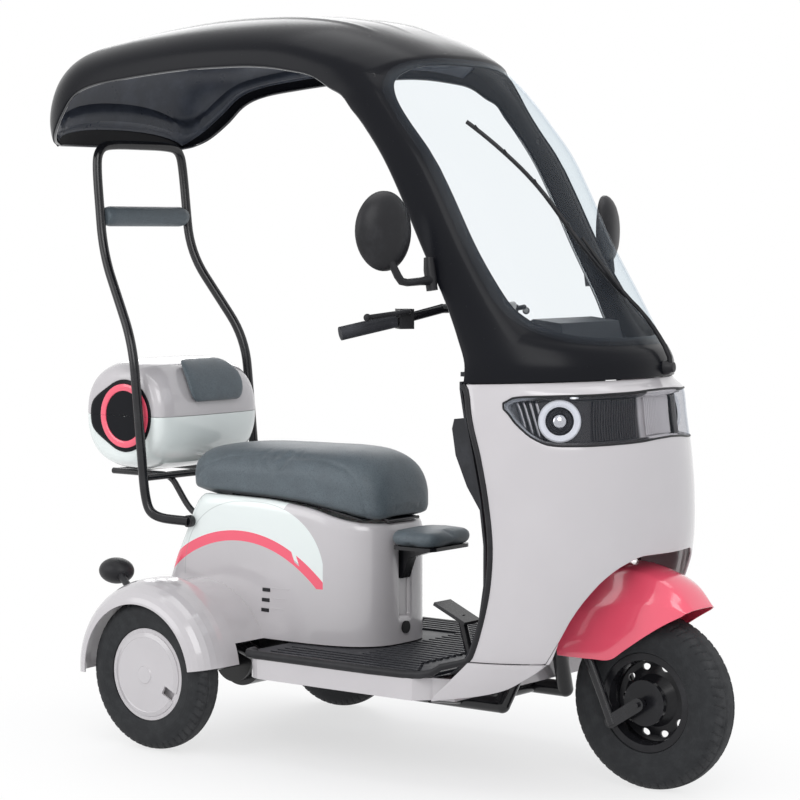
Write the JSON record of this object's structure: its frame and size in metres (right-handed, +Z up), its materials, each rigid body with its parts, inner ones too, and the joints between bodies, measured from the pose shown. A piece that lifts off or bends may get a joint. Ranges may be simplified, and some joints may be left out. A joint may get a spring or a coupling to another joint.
{
  "type": "electric tricycle",
  "caption": "Small roofed three-wheeler with a handlebar, one steered front wheel, two driven rear wheels, a long saddle over a storage base, a barrel box behind and a flat foot deck",
  "frame": {"origin": "on the ground under the middle of the overall length and width", "axes": "+X forward, +Y to the rider's left, +Z up"},
  "size_m": [1.8709, 1.0118, 1.7704],
  "materials": {
    "frame_black": "satin black paint on welded tubes",
    "spring_steel": "dark coated springs",
    "battery_case": "plain dark case",
    "body_grey": "glossy warm light grey moulding",
    "mint_white": "glossy pale mint moulding",
    "rubber_mat": "ribbed dark rubber",
    "trim_black": "satin black moulding",
    "roof_black": "gloss black moulding",
    "screen_glass": "clear, faintly blue",
    "ring_white": "white light guide",
    "tail_red": "red lamp lens",
    "coral_pink": "glossy coral pink moulding",
    "seat_grey": "slate grey seat cover",
    "wheel_black": "black pressed steel",
    "wheel_grey": "light grey pressed steel",
    "tyre": "black tyre rubber"
  },
  "bodies": {
    "root": {"chassis": "frame_black", "rear_axle": "frame_black", "rear_shocks": "spring_steel", "battery": "battery_case", "footboard": "body_grey", "floor_mat": "rubber_mat", "lower_nose": "body_grey", "front_shell": "body_grey", "shell_trim": "trim_black", "leg_shield": "trim_black", "dash": "trim_black", "lamp_housing": "trim_black", "lamp_lens": "screen_glass", "lamp_rings": "ring_white", "canopy": "roof_black", "roof_liner": "roof_black", "windshield": "screen_glass", "wiper": "trim_black", "mirrors": "trim_black", "seat_base": "body_grey", "side_vents": "trim_black", "charge_cap": "trim_black", "brake_pedal": "frame_black", "step_seat_bracket": "frame_black", "step_seat": "seat_grey", "rear_fenders": "body_grey", "tail_signals": "trim_black", "tail_lamp": "tail_red", "roll_bar": "frame_black", "roll_pad": "seat_grey", "pod_rack": "frame_black", "pod_tub": "mint_white", "pod_caps": "trim_black"},
    "pod_lid": {"pod_lid": "body_grey", "pod_lid_caps": "trim_black", "backrest": "seat_grey"},
    "saddle": {"saddle": "seat_grey", "saddle_plate": "frame_black"},
    "steering": {"fork": "frame_black", "front_fender": "coral_pink", "handlebar": "frame_black", "grips": "rubber_mat", "hand_controls": "trim_black"},
    "front_wheel": {"front_rim": "wheel_black", "front_tyre": "tyre"},
    "rear_wheel_left": {"rear_rim_left": "wheel_grey", "rear_tyre_left": "tyre", "hub_cap_left": "body_grey"},
    "rear_wheel_right": {"rear_rim_right": "wheel_grey", "rear_tyre_right": "tyre", "hub_cap_right": "body_grey"}
  },
  "joints": [
    {"name": "steering_turn", "type": "hinge", "parent": "root", "child": "steering", "pos_m": [0.6595, 0, 0.2], "axis": [-0.4067, 0, 0.9135], "range_deg": [-30, 30]},
    {"name": "front_wheel_spin", "type": "hinge", "parent": "steering", "child": "front_wheel", "pos_m": [0.7355, 0, 0.2], "axis": [0, 1, 0], "continuous": true},
    {"name": "rear_wheel_left_spin", "type": "hinge", "parent": "root", "child": "rear_wheel_left", "pos_m": [-0.4605, 0.355, 0.185], "axis": [0, 1, 0], "continuous": true},
    {"name": "rear_wheel_right_spin", "type": "hinge", "parent": "root", "child": "rear_wheel_right", "pos_m": [-0.4605, -0.355, 0.185], "axis": [0, 1, 0], "continuous": true},
    {"name": "saddle_hinge", "type": "hinge", "parent": "root", "child": "saddle", "pos_m": [0.0235, 0, 0.562], "axis": [0, 1, 0], "range_deg": [0, 60]},
    {"name": "pod_lid_hinge", "type": "hinge", "parent": "root", "child": "pod_lid", "pos_m": [-0.8845, 0, 0.79], "axis": [0, -1, 0], "range_deg": [0, 75]}
  ]
}
